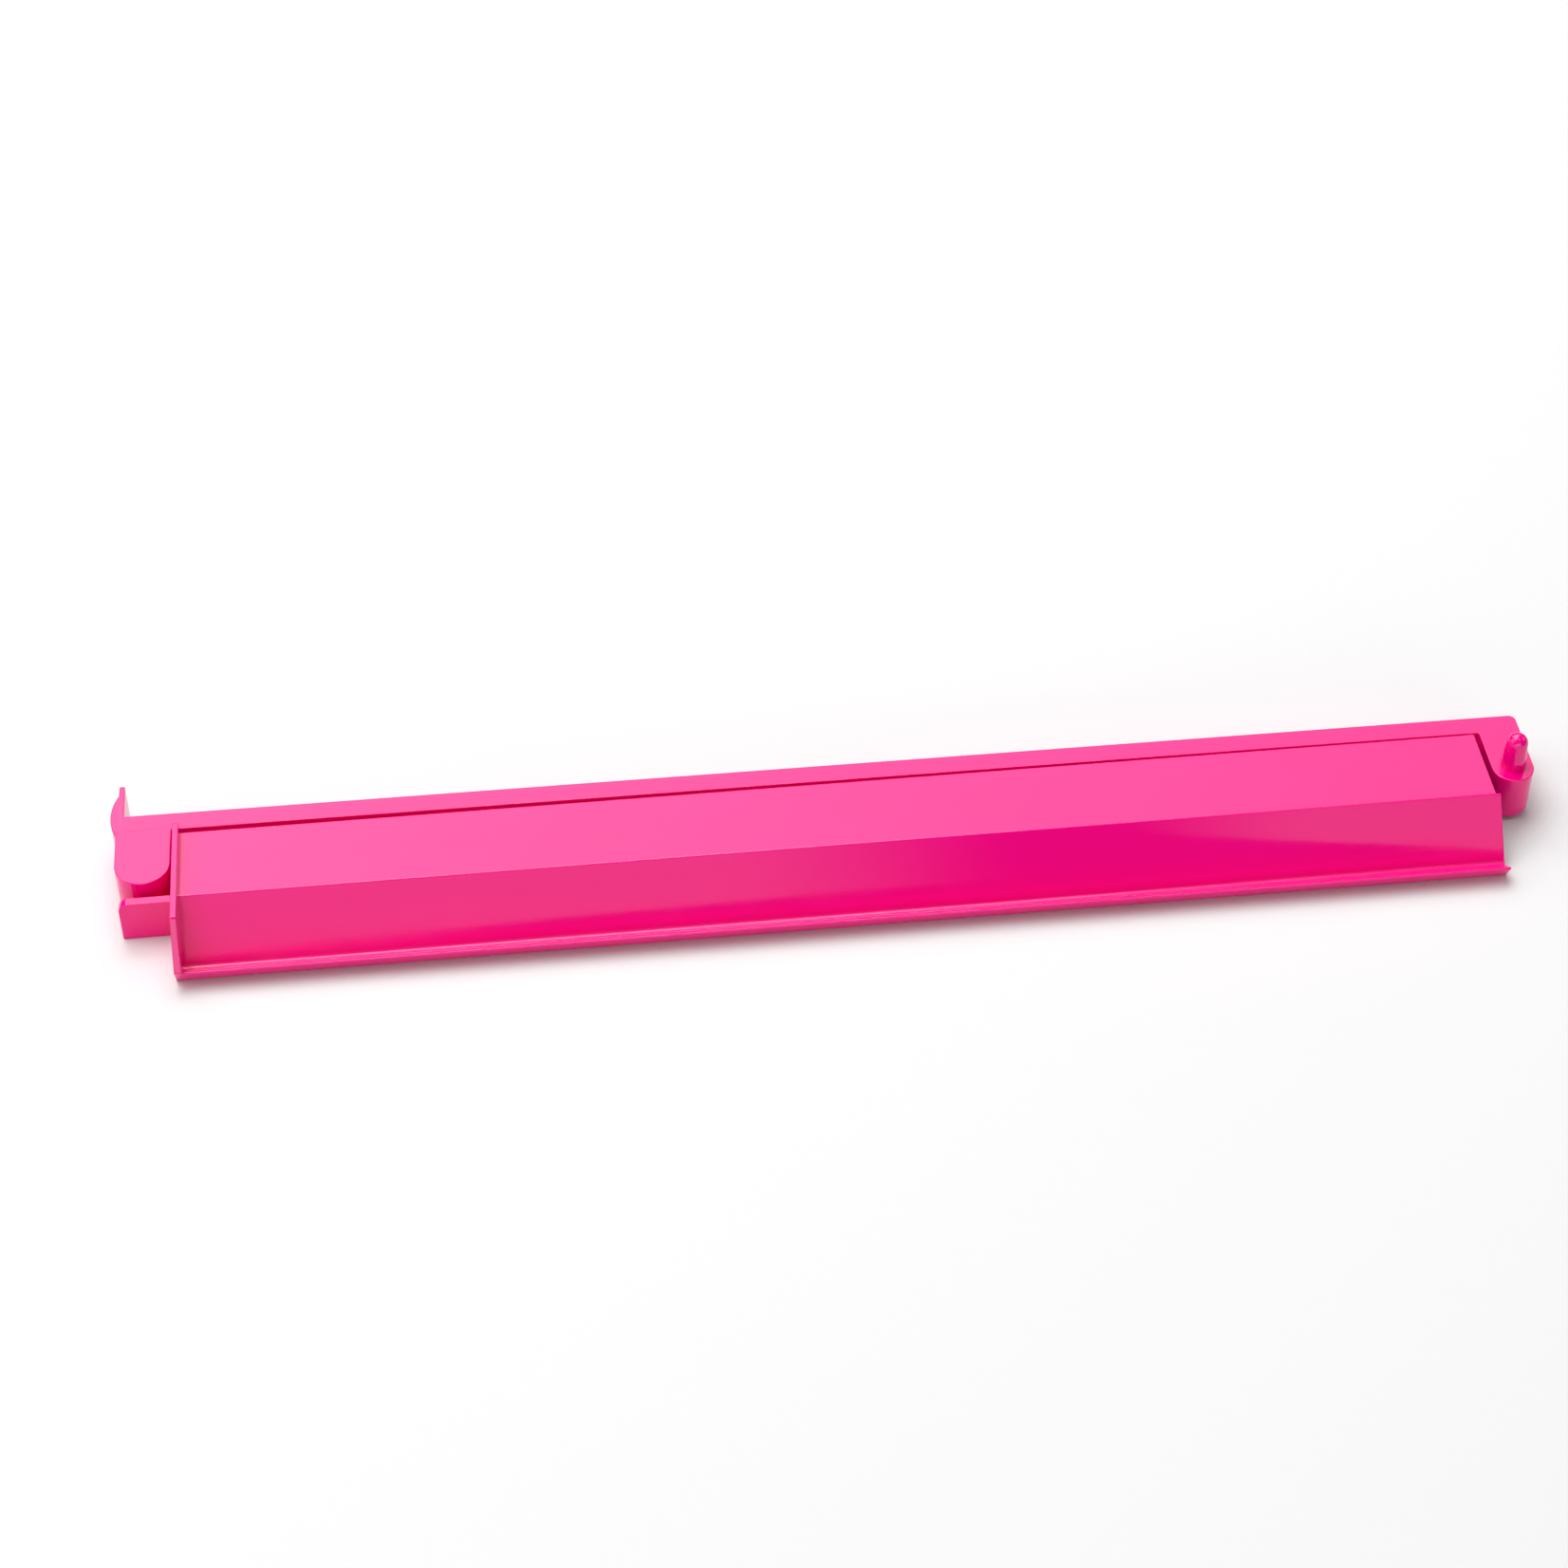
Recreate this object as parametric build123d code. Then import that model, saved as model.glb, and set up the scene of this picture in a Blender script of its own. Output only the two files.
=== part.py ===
"""Sectioning clip: a moulded channel with a snap-on clamping arm.

Frame: millimetres, +Z up. The origin is on the hinge axis, in the plane the clip rests on.
+X runs along the clip from the hinge to the hook, and +Y points from the clamp wall to the arm.
The clip is drawn closed. The arm opens by turning about +Z.
"""

from build123d import *
import math
import os

# Walls shared by the base moulding
wall_t = 1.3                # plate, clamp wall and sloping wall
end_plate_t = 0.95          # plate that closes the channel beside the hinge
floor_t = 1.3               # floor under the hinge barrel
edge_r = 0.35               # outer edges along the mouldings
tip_r = 0.2                 # thin tips

# Channel section, seen along the clip
plate_top = 9.6             # height of the flat top plate
clamp_face_y = 5.55         # face that the hair is pressed against
plate_width = 13.65         # from the clamp face to the top of the sloping wall
slope_run = 6.9             # how far the wall slopes out from the plate's edge to the gutter
gutter_z = 1.05             # bottom of the gutter
gutter_r = 0.6              # round in the gutter's corner
lip_run = 3.3               # how far the lip stands out from the gutter's corner
lip_top = 3.6               # height of the lip's tip
lip_foot = 1.95             # how far the lip's outer face slopes back to the ground

# Lengths along the clip
barrel_r = 4.2              # round end of the arm's hinge barrel
barrel_gap = 0.5            # room between the barrel and the end plate
plate_length = 202.35       # from the hinge side of the end plate to the open end of the plate
flap_over = 0.75            # how far the sloping wall and the lip pass the plate's open end

# End plate and hinge floor
end_plate_rise = 1.85       # how far the end plate stands above the top plate
end_plate_back = 0.6        # how far it passes the clamp face
end_plate_nose = 6.15       # from the top of the sloping wall out to the end plate's upper corner
end_corner_r = 0.6          # its upper corners
end_plate_draft = 0.35      # how much thicker it is at its foot, on the hinge side
floor_inset = 0.5           # the hinge floor's free side lies inside the barrel's side
floor_back = 4.2            # how far the floor reaches behind the hinge axis
floor_corner_r = 1.2        # its free corner, kept inside the arm's sweep
guard_gap = 1.25            # room between the barrel and the guard wall in front of it
guard_t = 1.45              # guard wall
guard_drop = 1.5            # its top lies this far below the barrel's top
guard_corner_r = 1.6        # its rounded upper corner

# Snap pivot, a stud on the hinge floor inside a blind bore in the barrel
stud_r = 2.2
bead_out = 0.15             # how far the snap bead stands out of the stud
bead_h = 0.7                # height of the bead
bead_drop = 1.2             # from the stud's top down to the middle of the bead
stud_lead = 0.5             # lead-in at the stud's top
pivot_clear = 0.06          # radial running clearance
bead_room = 0.15            # room above and below the bead in its groove
bore_room = 0.4             # room above the stud
barrel_roof = 1.85          # thickness of the barrel over the bore

# Clamping arm
arm_bottom = 0.65           # clear of the ground
arm_drop = 1.0              # the bar's top lies this far below the top plate
arm_gap = 1.8               # between the clamp face and the arm, at the hinge
arm_t = 3.55                # thickness of the bar
toe_in = 0.2                # degrees the arm leans towards the clamp face
under_clear = 0.15          # room between the hinge floor and the barrel
step_clear = 0.35           # room between the floor's corner and the arm's lower step
barrel_lift = 0.25          # the barrel stands this much above the bar
barrel_back = 0.15          # and reaches this far past the bar's inner face
barrel_corner_r = 0.7       # its rear corners

# Thumb tab at the hinge end
tab_root_t = 1.1            # thickness of the tab at the barrel's side
tab_reach = 6.7             # how far the tab stands behind the bar
tab_tip_t = 0.9             # thickness of its thin tip
tab_tip_l = 2.0             # length of the thin tip
tab_bulge = 0.95            # how far the thumb side swells past the barrel's side
tab_tip_blend_r = 1.2       # blend between the swelling and the thin tip
tab_root_blend_r = 0.5      # blend between the swelling and the barrel's side

# Hook and finger peg at the far end
hook_gap = 1.25             # between the plate's open end and the hook
boss_r = 3.3                # round end of the hook
boss_reach = 0.6            # how far its centre lies past the line of the hinge
hook_corner_r = 1.1         # rounded outer corner
inner_corner_r = 0.3        # inner corners
hook_foot_r = 0.5           # round along the hook's lower edge
peg_r = 2.0                 # finger peg at its foot
peg_top_r = 1.65            # and under its dome
peg_shift = 0.2             # the peg stands this much nearer the clip's end than the round end's centre
peg_h = 6.1                 # height above the bar

# Values worked out from the sizes above
end_plate_top = plate_top + end_plate_rise
end_plate_x = barrel_r + barrel_gap
plate_end_x = end_plate_x + plate_length
flap_end_x = plate_end_x + flap_over
plate_front_y = clamp_face_y - plate_width
gutter_y = plate_front_y - slope_run
lip_y = gutter_y - lip_run
slope_drop = plate_top - gutter_z
slope_l = math.hypot(slope_run, slope_drop)
slope_t = wall_t * slope_l / slope_drop
wall_end_y = plate_front_y + wall_t * slope_drop / slope_l
wall_end_z = plate_top - wall_t * slope_run / slope_l
arm_top = plate_top - arm_drop
barrel_top = arm_top + barrel_lift
guard_inner_y = -barrel_r - guard_gap
guard_outer_y = guard_inner_y - guard_t
guard_top = barrel_top - guard_drop
floor_left = barrel_r - floor_inset
bore_top = barrel_top - barrel_roof
stud_top = bore_top - bore_room
bead_z = stud_top - bead_drop
tab_inner_x = -barrel_r + tab_root_t
arm_inner_y = clamp_face_y + arm_gap
arm_outer_y = arm_inner_y + arm_t
hook_inner_x = plate_end_x + hook_gap
hook_outer_x = hook_inner_x + 2 * boss_r
boss_x = hook_inner_x + boss_r
corner_reach = math.hypot(floor_left - floor_corner_r, floor_back - floor_corner_r) + floor_corner_r
step_y = corner_reach + step_clear


def slope_y(z, inset=0.0):
    """Y of the sloping wall's face at a height, moved into the channel by inset."""
    return plate_front_y - slope_run * (plate_top - z) / slope_drop + inset


def rounded_face(plane, corners):
    """Face in a plane from (a, b, radius) corners, in order."""
    points = [(a, b) for a, b, _ in corners]
    radii = [radius for _, _, radius in corners]
    return plane * make_face(FilletPolyline(*points, radius=radii, close=True))


def along_x(corners, x_from, x_to):
    """Solid of a Y-Z outline between two X positions."""
    return extrude(rounded_face(Plane.YZ.offset(x_from), corners), amount=x_to - x_from)


def along_z(corners, z_from, z_to):
    """Solid of an X-Y outline between two heights."""
    return extrude(rounded_face(Plane.XY.offset(z_from), corners), amount=z_to - z_from)


def gutter_and_lip():
    """Corners of the section that the channel and its flap share, from the gutter to the wall's foot."""
    return [
        (gutter_y, gutter_z, gutter_r),
        (lip_y, lip_top, tip_r),
        (lip_y + lip_foot, 0, edge_r),
        (slope_y(0, slope_t), 0, tip_r),
    ]


def channel():
    """Clamp wall, flat top plate, sloping wall, gutter and lip, in one section."""
    inner_y = clamp_face_y - wall_t
    under = plate_top - wall_t
    corners = [
        (clamp_face_y, 0, edge_r),
        (clamp_face_y, plate_top, edge_r),
        (plate_front_y, plate_top, edge_r),
        *gutter_and_lip(),
        (slope_y(under, slope_t), under, edge_r),
        (inner_y, under, edge_r),
        (inner_y, 0, edge_r),
    ]
    return along_x(corners, end_plate_x, plate_end_x)


def flap():
    """The sloping wall and the lip go on past the plate's open end, square at the upper edge."""
    corners = [
        (plate_front_y, plate_top, edge_r),
        *gutter_and_lip(),
        (wall_end_y, wall_end_z, tip_r),
    ]
    return along_x(corners, plate_end_x, flap_end_x)


def end_plate():
    """Thin raised plate across the channel, from the clamp face out to the lip, thicker at its foot."""
    corners = [
        (clamp_face_y + end_plate_back, 0, tip_r),
        (clamp_face_y + end_plate_back, end_plate_top, end_corner_r),
        (plate_front_y - end_plate_nose, end_plate_top, end_corner_r),
        (lip_y, lip_top, tip_r),
        (lip_y + lip_foot, 0, edge_r),
    ]
    blank = along_x(corners, end_plate_x - end_plate_draft, end_plate_x + end_plate_t)
    sides = Polyline(
        (end_plate_x - end_plate_draft, 0),
        (end_plate_x, end_plate_top),
        (end_plate_x + end_plate_t, end_plate_top),
        (end_plate_x + end_plate_t, 0),
        close=True,
    )
    return blank & extrude(Plane.XZ * make_face(sides), amount=2 * plate_width, both=True)


def hinge_floor():
    """Floor that carries the stud, under the hinge barrel."""
    corners = [
        (end_plate_x + end_plate_t / 2, guard_outer_y, 0),
        (end_plate_x + end_plate_t / 2, floor_back, 0),
        (-floor_left, floor_back, floor_corner_r),
        (-floor_left, guard_outer_y, tip_r),
    ]
    return along_z(corners, 0, floor_t)


def guard_wall():
    """Short wall in front of the barrel, with one rounded upper corner."""
    face = Plane.XZ.offset(-guard_inner_y)
    corners = [
        (end_plate_x + end_plate_t / 2, 0, 0),
        (end_plate_x + end_plate_t / 2, guard_top, 0),
        (-floor_left, guard_top, guard_corner_r),
        (-floor_left, 0, tip_r),
    ]
    return extrude(rounded_face(face, corners), amount=guard_t)


def pivot_profile(radius, bead_radius, bead_half, top, lead):
    """Turned solid from the hinge floor up, with one bead."""
    below = bead_z - bead_half
    above = bead_z + bead_half
    slope = bead_radius - radius
    points = [
        (0, floor_t / 2),
        (radius, floor_t / 2),
        (radius, below - slope),
        (bead_radius, below),
        (bead_radius, above),
        (radius, above + slope),
        (radius, top - lead),
        (radius - lead, top),
        (0, top),
    ]
    return revolve(Plane.XZ * make_face(Polyline(*points, close=True)), Axis.Z)


def stud():
    """Snap stud that the arm turns on."""
    return pivot_profile(stud_r, stud_r + bead_out, bead_h / 2, stud_top, stud_lead)


def bore():
    """Blind bore in the barrel: the stud with its clearances."""
    radius = stud_r + pivot_clear
    half = bead_h / 2 + bead_room
    return pivot_profile(radius, radius + bead_out, half, bore_top, stud_lead)


def base():
    """Base moulding: channel, end plate, hinge floor, guard wall and stud in one piece."""
    body = channel() + flap() + end_plate()
    return body + hinge_floor() + guard_wall() + stud()


def bar_and_hook():
    """Straight bar with the hook that turns round the plate's open end."""
    corners = [
        (tab_inner_x, arm_inner_y, 0),
        (hook_inner_x, arm_inner_y, inner_corner_r),
        (hook_inner_x, -boss_reach, 0),
        (hook_outer_x, -boss_reach, 0),
        (hook_outer_x, arm_outer_y, hook_corner_r),
        (tab_inner_x, arm_outer_y, 0),
    ]
    boss = Pos(boss_x, -boss_reach, arm_bottom) * extrude(Circle(boss_r), amount=arm_top - arm_bottom)
    return along_z(corners, arm_bottom, arm_top) + boss


def round_hook_foot(body):
    """Rounds the hook's lower edge, round its end and along both of its sides."""
    lower = body.edges().filter_by_position(Axis.Z, arm_bottom - tip_r, arm_bottom + tip_r)
    past_plate = lower.filter_by_position(Axis.X, hook_inner_x + tip_r, hook_outer_x + tip_r)
    foot = past_plate.filter_by_position(Axis.Y, -2 * boss_r, arm_outer_y - hook_corner_r)
    return fillet(foot, hook_foot_r)


def thumb_tab():
    """Upright tab behind the hinge: flat inside, swelling outside, thin at its tip."""
    tip_y = arm_outer_y + tab_reach
    tip_x = tab_inner_x - tab_tip_t
    swell_y = tip_y - tab_tip_l
    root_y = arm_inner_y - barrel_back - barrel_corner_r
    swell = ThreePointArc(
        (tip_x, swell_y),
        (-barrel_r - tab_bulge, (swell_y + root_y) / 2),
        (-barrel_r, root_y),
    )
    sides = Polyline(
        (-barrel_r, root_y),
        (-barrel_r, 0),
        (tab_inner_x, 0),
        (tab_inner_x, tip_y),
        (tip_x, tip_y),
        (tip_x, swell_y),
    )
    face = make_face([swell, sides])
    face = fillet(face.vertices().sort_by_distance((tip_x, swell_y, 0))[0], tab_tip_blend_r)
    face = fillet(face.vertices().sort_by_distance((-barrel_r, root_y, 0))[0], tab_root_blend_r)
    face = fillet(face.vertices().sort_by(Axis.Y)[-2:], tab_tip_t * 0.4)
    return extrude(Pos(0, 0, arm_bottom) * face, amount=arm_top - arm_bottom)


def barrel():
    """Hinge barrel: half round in front, square behind, a little higher than the bar."""
    back_y = arm_inner_y + barrel_back
    corners = [
        (-barrel_r, 0, 0),
        (barrel_r, 0, 0),
        (barrel_r, back_y, barrel_corner_r),
        (-barrel_r, back_y, barrel_corner_r),
    ]
    round_end = Pos(0, 0, arm_bottom) * extrude(Circle(barrel_r), amount=barrel_top - arm_bottom)
    return along_z(corners, arm_bottom, barrel_top) + round_end


def floor_relief():
    """Room under the barrel for the hinge floor."""
    reach = 3 * barrel_r
    depth = floor_t + under_clear - arm_bottom
    box = Box(2 * reach, reach + step_y, depth, align=(Align.CENTER, Align.MAX, Align.MIN))
    return Pos(0, step_y, arm_bottom) * box


def finger_peg():
    """Tapered peg with a domed top, standing on the hook's round end."""
    height = peg_h - peg_top_r
    shaft = Cone(peg_r, peg_top_r, height, align=(Align.CENTER, Align.CENTER, Align.MIN))
    dome = Pos(0, 0, height) * Sphere(peg_top_r)
    return Pos(boss_x + peg_shift, 0, arm_top) * (shaft + dome)


def arm():
    """Arm moulding: bar, hook, peg, thumb tab and hinge barrel in one piece."""
    hook = round_hook_foot(bar_and_hook())
    body = hook + thumb_tab() + barrel() + finger_peg()
    body = body - floor_relief() - bore()
    return Rot(0, 0, -toe_in) * body


def main():
    """Writes one STEP file for each moulding."""
    os.makedirs("parts", exist_ok=True)
    for name, solid in {"base_channel": base(), "clamp_arm": arm()}.items():
        solid.label = name
        export_step(solid, f"parts/{name}.step")


main()
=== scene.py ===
"""Sectioning clip in glossy pink plastic: a channel base with a gutter lip, and a hinged clamping arm.

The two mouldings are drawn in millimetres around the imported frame, swept, fused and given their finish.
Frame: the origin is on the hinge axis in the resting plane, +X runs to the hook, +Y to the arm, +Z up.
"""

import logging
import math
from abc import ABC, abstractmethod
from dataclasses import dataclass, field, replace
from enum import Enum

import bmesh
import bpy
from mathutils import Matrix, Vector


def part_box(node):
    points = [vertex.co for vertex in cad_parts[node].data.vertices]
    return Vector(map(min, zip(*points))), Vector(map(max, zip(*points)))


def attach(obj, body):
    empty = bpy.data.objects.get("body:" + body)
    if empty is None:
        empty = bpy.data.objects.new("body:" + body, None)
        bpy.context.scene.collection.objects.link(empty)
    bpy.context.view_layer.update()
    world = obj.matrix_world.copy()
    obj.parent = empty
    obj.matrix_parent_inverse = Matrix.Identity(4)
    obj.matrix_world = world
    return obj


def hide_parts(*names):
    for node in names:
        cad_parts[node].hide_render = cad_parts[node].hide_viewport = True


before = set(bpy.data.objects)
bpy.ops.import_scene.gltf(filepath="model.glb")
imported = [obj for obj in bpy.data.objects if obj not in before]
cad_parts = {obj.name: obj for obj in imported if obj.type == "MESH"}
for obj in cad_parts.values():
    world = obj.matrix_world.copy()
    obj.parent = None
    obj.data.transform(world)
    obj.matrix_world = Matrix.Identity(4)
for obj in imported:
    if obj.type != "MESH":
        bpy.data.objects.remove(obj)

Socket = bpy.types.NodeSocket
Sockets = bpy.types.bpy_prop_collection
Fed = Socket | bpy.types.Material | Vector | tuple | str | float | int  # what a node's input can be given

MM = 0.001                       # metres in a millimetre
ARC_STEP = math.radians(9.0)     # widest turn between two points of a rounded corner
SMOOTH_TURN = math.radians(32.0)  # faces that meet more sharply than this keep a crisp edge
CURVE_STEPS = 12                 # parts of a long curve
WELD = 0.0002                    # millimetres within which two corners are one
SEAM = 0.002                     # millimetres that keep two fused faces out of one plane
DRAW_IN = "draw_in"              # attribute that holds an outline's draw-in vectors

log = logging.getLogger("sectioning_clip")
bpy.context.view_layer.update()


# Named choices


class Sweep(Enum):
    """The axis that a section is swept along, as the world axes of (a, b, along)."""

    ALONG_X = ((0, 1, 0), (0, 0, 1), (1, 0, 0))
    ALONG_Y = ((0, 0, 1), (1, 0, 0), (0, 1, 0))
    ALONG_Z = ((1, 0, 0), (0, 1, 0), (0, 0, 1))


class Join(Enum):
    """How one solid is combined with another."""

    FUSE = "UNION"
    CUT = "DIFFERENCE"


class Slot(Enum):
    """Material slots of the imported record."""

    BASE = "pink_gloss_base"
    ARM = "pink_gloss_arm"


class Kind(Enum):
    """Kinds of a node group's sockets."""

    SHAPE = "NodeSocketGeometry"
    NUMBER = "NodeSocketFloat"
    COUNT = "NodeSocketInt"
    VECTOR = "NodeSocketVector"
    COLOUR = "NodeSocketColor"
    FINISH = "NodeSocketMaterial"


# Helpers for objects and node trees


def new_object(name: str, data: bpy.types.ID) -> bpy.types.Object:
    """Makes an object from its data and links it to the scene."""
    made = bpy.data.objects.new(name, data)
    bpy.context.scene.collection.objects.link(made)
    return made


class Wiring:
    """Small helper that adds and links nodes in one tree."""

    def __init__(self, tree: bpy.types.NodeTree) -> None:
        """Takes the tree that the nodes go into."""
        self.tree = tree

    @classmethod
    def afresh(cls, owner: bpy.types.ID) -> "Wiring":
        """Empties the nodes of a material, a light or a world.

        Args:
            owner: What holds the nodes.

        Returns:
            The wiring of its empty tree.
        """
        owner.use_nodes = True
        owner.node_tree.nodes.clear()
        return cls(owner.node_tree)

    def declare(self, inputs: dict[str, Kind], output: str, kind: Kind) -> dict[str, str]:
        """Makes a group's named inputs and its one output.

        Args:
            inputs: The kind of each input, by name.
            output: Name of the output.
            kind: Kind of the output.

        Returns:
            The identifier of each input, by name.
        """
        face = self.tree.interface
        made = {
            name: face.new_socket(name, in_out="INPUT", socket_type=wanted.value).identifier
            for name, wanted in inputs.items()
        }
        face.new_socket(output, in_out="OUTPUT", socket_type=kind.value)
        return made

    def add(self, kind: str, inputs: dict[str | int, Fed] | None = None, **settings: Fed) -> bpy.types.Node:
        """Adds a node, sets its properties, and feeds its inputs.

        Args:
            kind: Blender's name of the node type.
            inputs: Values or output sockets, by input name or number.
            settings: Properties of the node.

        Returns:
            The node.
        """
        node = self.tree.nodes.new(kind)
        for name, value in settings.items():
            setattr(node, name, value)
        for name, value in (inputs or {}).items():
            if isinstance(value, Socket):
                self.tree.links.new(value, node.inputs[name])
            else:
                node.inputs[name].default_value = value
        return node

    def result(self, kind: str, inputs: dict[str | int, Fed] | None = None, **settings: Fed) -> Socket:
        """Adds a node as add does, and returns its first output."""
        return self.add(kind, inputs, **settings).outputs[0]

    def maths(self, operation: str, *values: Socket | float) -> Socket:
        """Adds a Math node and returns its result."""
        return self.result("ShaderNodeMath", dict(enumerate(values)), operation=operation)


# Outlines and solids


@dataclass(frozen=True)
class Corner:
    """A corner of an outline and the radius that rounds it, in millimetres."""

    a: float
    b: float
    radius: float = 0.0

    @property
    def place(self) -> Vector:
        """The corner as a plane vector."""
        return Vector((self.a, self.b))


@dataclass
class Outline:
    """A closed outline of corners, in order."""

    corners: list[Corner]

    def rounded(self) -> list[tuple[Vector, Vector]]:
        """Points of the outline with its corners rounded.

        Returns:
            Pairs of a point and the vector that moves it when the outline is drawn in by one millimetre.
        """
        corners = self.corners if self.signed_area() > 0 else self.corners[::-1]
        points: list[tuple[Vector, Vector]] = []
        for i, corner in enumerate(corners):
            before = (corner.place - corners[i - 1].place).normalized()
            after = (corners[(i + 1) % len(corners)].place - corner.place).normalized()
            points += self.corner_points(corner, before, after)
        return [p for i, p in enumerate(points) if (p[0] - points[i - 1][0]).length > WELD]

    def signed_area(self) -> float:
        """Area inside the corners, above zero where they run anticlockwise."""
        pairs = zip(self.corners, self.corners[1:] + self.corners[:1])
        return sum(p.a * q.b - q.a * p.b for p, q in pairs) / 2

    @staticmethod
    def corner_points(corner: Corner, before: Vector, after: Vector) -> list[tuple[Vector, Vector]]:
        """Points that round one corner.

        Args:
            corner: The corner and its radius.
            before: Unit vector of the side that arrives.
            after: Unit vector of the side that leaves.

        Returns:
            Pairs of a point and its draw-in vector.
        """
        inward = Vector((-before.y, before.x))
        turn = math.atan2(before.cross(after), before.dot(after))
        if corner.radius <= 0 or abs(turn) < ARC_STEP / 4:
            next_inward = Vector((-after.y, after.x))
            return [(corner.place, (inward + next_inward) / (1 + inward.dot(next_inward)))]
        side = math.copysign(1.0, turn)
        start = corner.place - before * (corner.radius * math.tan(abs(turn) / 2))
        centre = start + inward * (side * corner.radius)
        steps = max(2, math.ceil(abs(turn) / ARC_STEP))
        points = []
        for k in range(steps + 1):
            draw_in = inward.copy()
            draw_in.rotate(Matrix.Rotation(turn * k / steps, 2))
            points.append((centre - draw_in * (side * corner.radius), draw_in))
        return points


def arc_through(start: Vector, peak: Vector, end: Vector, steps: int) -> list[Vector]:
    """Points on the arc from start through peak to end, without its two ends.

    Args:
        start: First end of the arc.
        peak: A point between the ends.
        end: Last end of the arc.
        steps: Into how many parts the arc is divided.

    Returns:
        The points between the ends.
    """
    p, q = peak - start, end - start
    scale = 2 * (p.x * q.y - p.y * q.x)
    centre = start + Vector((
        (q.y * p.length_squared - p.y * q.length_squared) / scale,
        (p.x * q.length_squared - q.x * p.length_squared) / scale,
    ))
    first, last = start - centre, end - centre
    turn = math.atan2(first.cross(last), first.dot(last))
    points = []
    for k in range(1, steps):
        spoke = first.copy()
        spoke.rotate(Matrix.Rotation(turn * k / steps, 2))
        points.append(centre + spoke)
    return points


class SweepTree:
    """Geometry Nodes tree that sweeps a section between two places and rounds the edges of its ends."""

    INPUTS = {
        "Section": Kind.SHAPE,
        "Start": Kind.NUMBER,
        "End": Kind.NUMBER,
        "Start Round": Kind.NUMBER,
        "End Round": Kind.NUMBER,
        "Round Steps": Kind.COUNT,
        "Across": Kind.VECTOR,
        "Up": Kind.VECTOR,
        "Along": Kind.VECTOR,
        "Material": Kind.FINISH,
    }

    def __init__(self) -> None:
        """Makes the tree with its named inputs and its nodes."""
        self.tree = bpy.data.node_groups.new("swept_section", "GeometryNodeTree")
        self.wire = Wiring(self.tree)
        self.sockets = self.wire.declare(self.INPUTS, "Solid", Kind.SHAPE)
        given = self.wire.add("NodeGroupInput").outputs
        self.wire.add("NodeGroupOutput", {0: self._placed(self._swept(given), given)})

    def _whole(self, operation: str, *values: Socket | int) -> Socket:
        """Adds an Integer Math node and returns its result."""
        return self.wire.result("FunctionNodeIntegerMath", dict(enumerate(values)), operation=operation)

    def _vector(self, operation: str, first: Socket, second: Socket) -> Socket:
        """Adds a Vector Math node of two vectors, or of a vector and a scale."""
        partner = "Scale" if operation == "SCALE" else 1
        return self.wire.result("ShaderNodeVectorMath", {0: first, partner: second}, operation=operation)

    def _moved(self, mesh: Socket, place: Socket, drawn_in: Socket, height: Socket) -> Socket:
        """Moves points to a place, drawn in from the outline and lifted to a height along the sweep.

        Args:
            mesh: The points that move.
            place: Where each one lies on the outline.
            drawn_in: How it is drawn in from there.
            height: Its height along the sweep.

        Returns:
            The moved mesh.
        """
        lift = self.wire.result("ShaderNodeCombineXYZ", {"Z": height})
        moved = self._vector("ADD", self._vector("ADD", place, drawn_in), lift)
        return self.wire.result("GeometryNodeSetPosition", {"Geometry": mesh, "Position": moved})

    def _sampled(self, section: Socket, value: Socket, index: Socket) -> Socket:
        """Reads a vector of the section at an index."""
        inputs = {"Geometry": section, "Value": value, "Index": index}
        return self.wire.result("GeometryNodeSampleIndex", inputs, data_type="FLOAT_VECTOR", domain="POINT")

    def _swept(self, given: Sockets) -> Socket:
        """Wires the side walls and the two end faces.

        Args:
            given: The tree's inputs.

        Returns:
            The closed solid, with its sweep along its own Z.
        """
        wire, maths = self.wire, self.wire.maths
        section, steps = given["Section"], given["Round Steps"]
        start_round, end_round = given["Start Round"], given["End Round"]
        place = wire.result("GeometryNodeInputPosition")
        draw_in = wire.result("GeometryNodeInputNamedAttribute", {"Name": DRAW_IN}, data_type="FLOAT_VECTOR")

        size = wire.add("GeometryNodeAttributeDomainSize", {0: section}, component="MESH")
        count = size.outputs["Point Count"]
        rows = self._whole("MULTIPLY", self._whole("ADD", steps, 1), 2)
        columns = self._whole("ADD", count, 1)
        grid = wire.result("GeometryNodeMeshGrid", {"Vertices X": columns, "Vertices Y": rows})

        index = wire.result("GeometryNodeInputIndex")
        row = self._whole("MODULO", index, rows)
        point = self._whole("MODULO", self._whole("DIVIDE_FLOOR", index, rows), count)
        quarter = math.pi / 2
        near = maths("MULTIPLY", maths("DIVIDE", row, steps), quarter)
        last = maths("SUBTRACT", row, self._whole("ADD", steps, 1))
        far = maths("MULTIPLY", maths("DIVIDE", last, steps), quarter)
        at_start = maths("COMPARE", maths("GREATER_THAN", row, steps), 0.0, 0.5)

        def one_less(operation: str, angle: Socket, radius: Socket) -> Socket:
            """The radius times one less the sine or cosine of an angle."""
            return maths("MULTIPLY", maths("SUBTRACT", 1.0, maths(operation, angle)), radius)

        def chosen(at_end: Socket, otherwise: Socket) -> Socket:
            """The first value in the rows near the end, the second in those near the start."""
            inputs = {"Switch": at_start, "False": at_end, "True": otherwise}
            return wire.result("GeometryNodeSwitch", inputs, input_type="FLOAT")

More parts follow.
